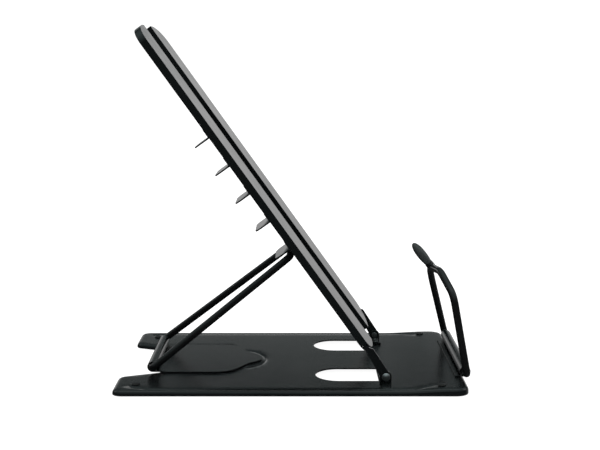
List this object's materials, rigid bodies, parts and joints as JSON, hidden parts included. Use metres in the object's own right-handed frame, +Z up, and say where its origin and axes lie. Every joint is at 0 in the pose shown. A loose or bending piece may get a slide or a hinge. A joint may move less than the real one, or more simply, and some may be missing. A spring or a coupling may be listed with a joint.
{
  "type": "music stand",
  "caption": "Desk-top music stand of black painted sheet steel: flat base, sloped two-wing tray on a wire prop, and a wire page holder at the front.",
  "frame": {"origin": "on the table, under the middle of the stand's length and width", "axes": "+X towards the reader, +Y to the reader's right, +Z up"},
  "size_m": [0.285, 0.19, 0.2874],
  "materials": {
    "black_paint": "black baked enamel, semi-gloss, on pressed sheet steel",
    "wire_paint": "black enamel, semi-gloss, on round steel wire",
    "plated_rivet": "plated steel rivet, satin",
    "rubber_foot": "black rubber, matt",
    "soft_tip": "dark vinyl, satin"
  },
  "bodies": {
    "base": {"base_plate": "black_paint", "prop_hinge_leaf": "black_paint", "page_holder_hinge_leaf": "black_paint", "left_hinge_ear": "black_paint", "left_ear_rivet_inner": "black_paint", "left_ear_rivet_outer": "black_paint", "left_pivot_rivet": "plated_rivet", "left_rear_foot": "rubber_foot", "left_front_foot": "rubber_foot", "right_hinge_ear": "black_paint", "right_ear_rivet_inner": "black_paint", "right_ear_rivet_outer": "black_paint", "right_pivot_rivet": "plated_rivet", "right_rear_foot": "rubber_foot", "right_front_foot": "rubber_foot"},
    "tray": {"left_wing": "black_paint", "left_arm": "black_paint", "right_wing": "black_paint", "right_arm": "black_paint", "spine": "black_paint", "support_tab_1": "black_paint", "support_tab_2": "black_paint", "support_tab_3": "black_paint", "support_tab_4": "black_paint", "support_tab_5": "black_paint"},
    "prop": {"prop_wire": "wire_paint"},
    "page_holder": {"page_holder_wire": "wire_paint", "page_holder_tip": "soft_tip"}
  },
  "joints": [
    {"name": "tray_hinge", "type": "hinge", "parent": "base", "child": "tray", "pos_m": [0.0735, 0, 0.0095], "axis": [0, 1, 0], "range_deg": [0, 30]},
    {"name": "prop_hinge", "type": "hinge", "parent": "base", "child": "prop", "pos_m": [-0.116, 0, 0.0105], "axis": [0, 1, 0], "range_deg": [0, 39]},
    {"name": "page_holder_hinge", "type": "hinge", "parent": "base", "child": "page_holder", "pos_m": [0.1381, 0, 0.0113], "axis": [0, 1, 0], "range_deg": [-15, 100]}
  ]
}
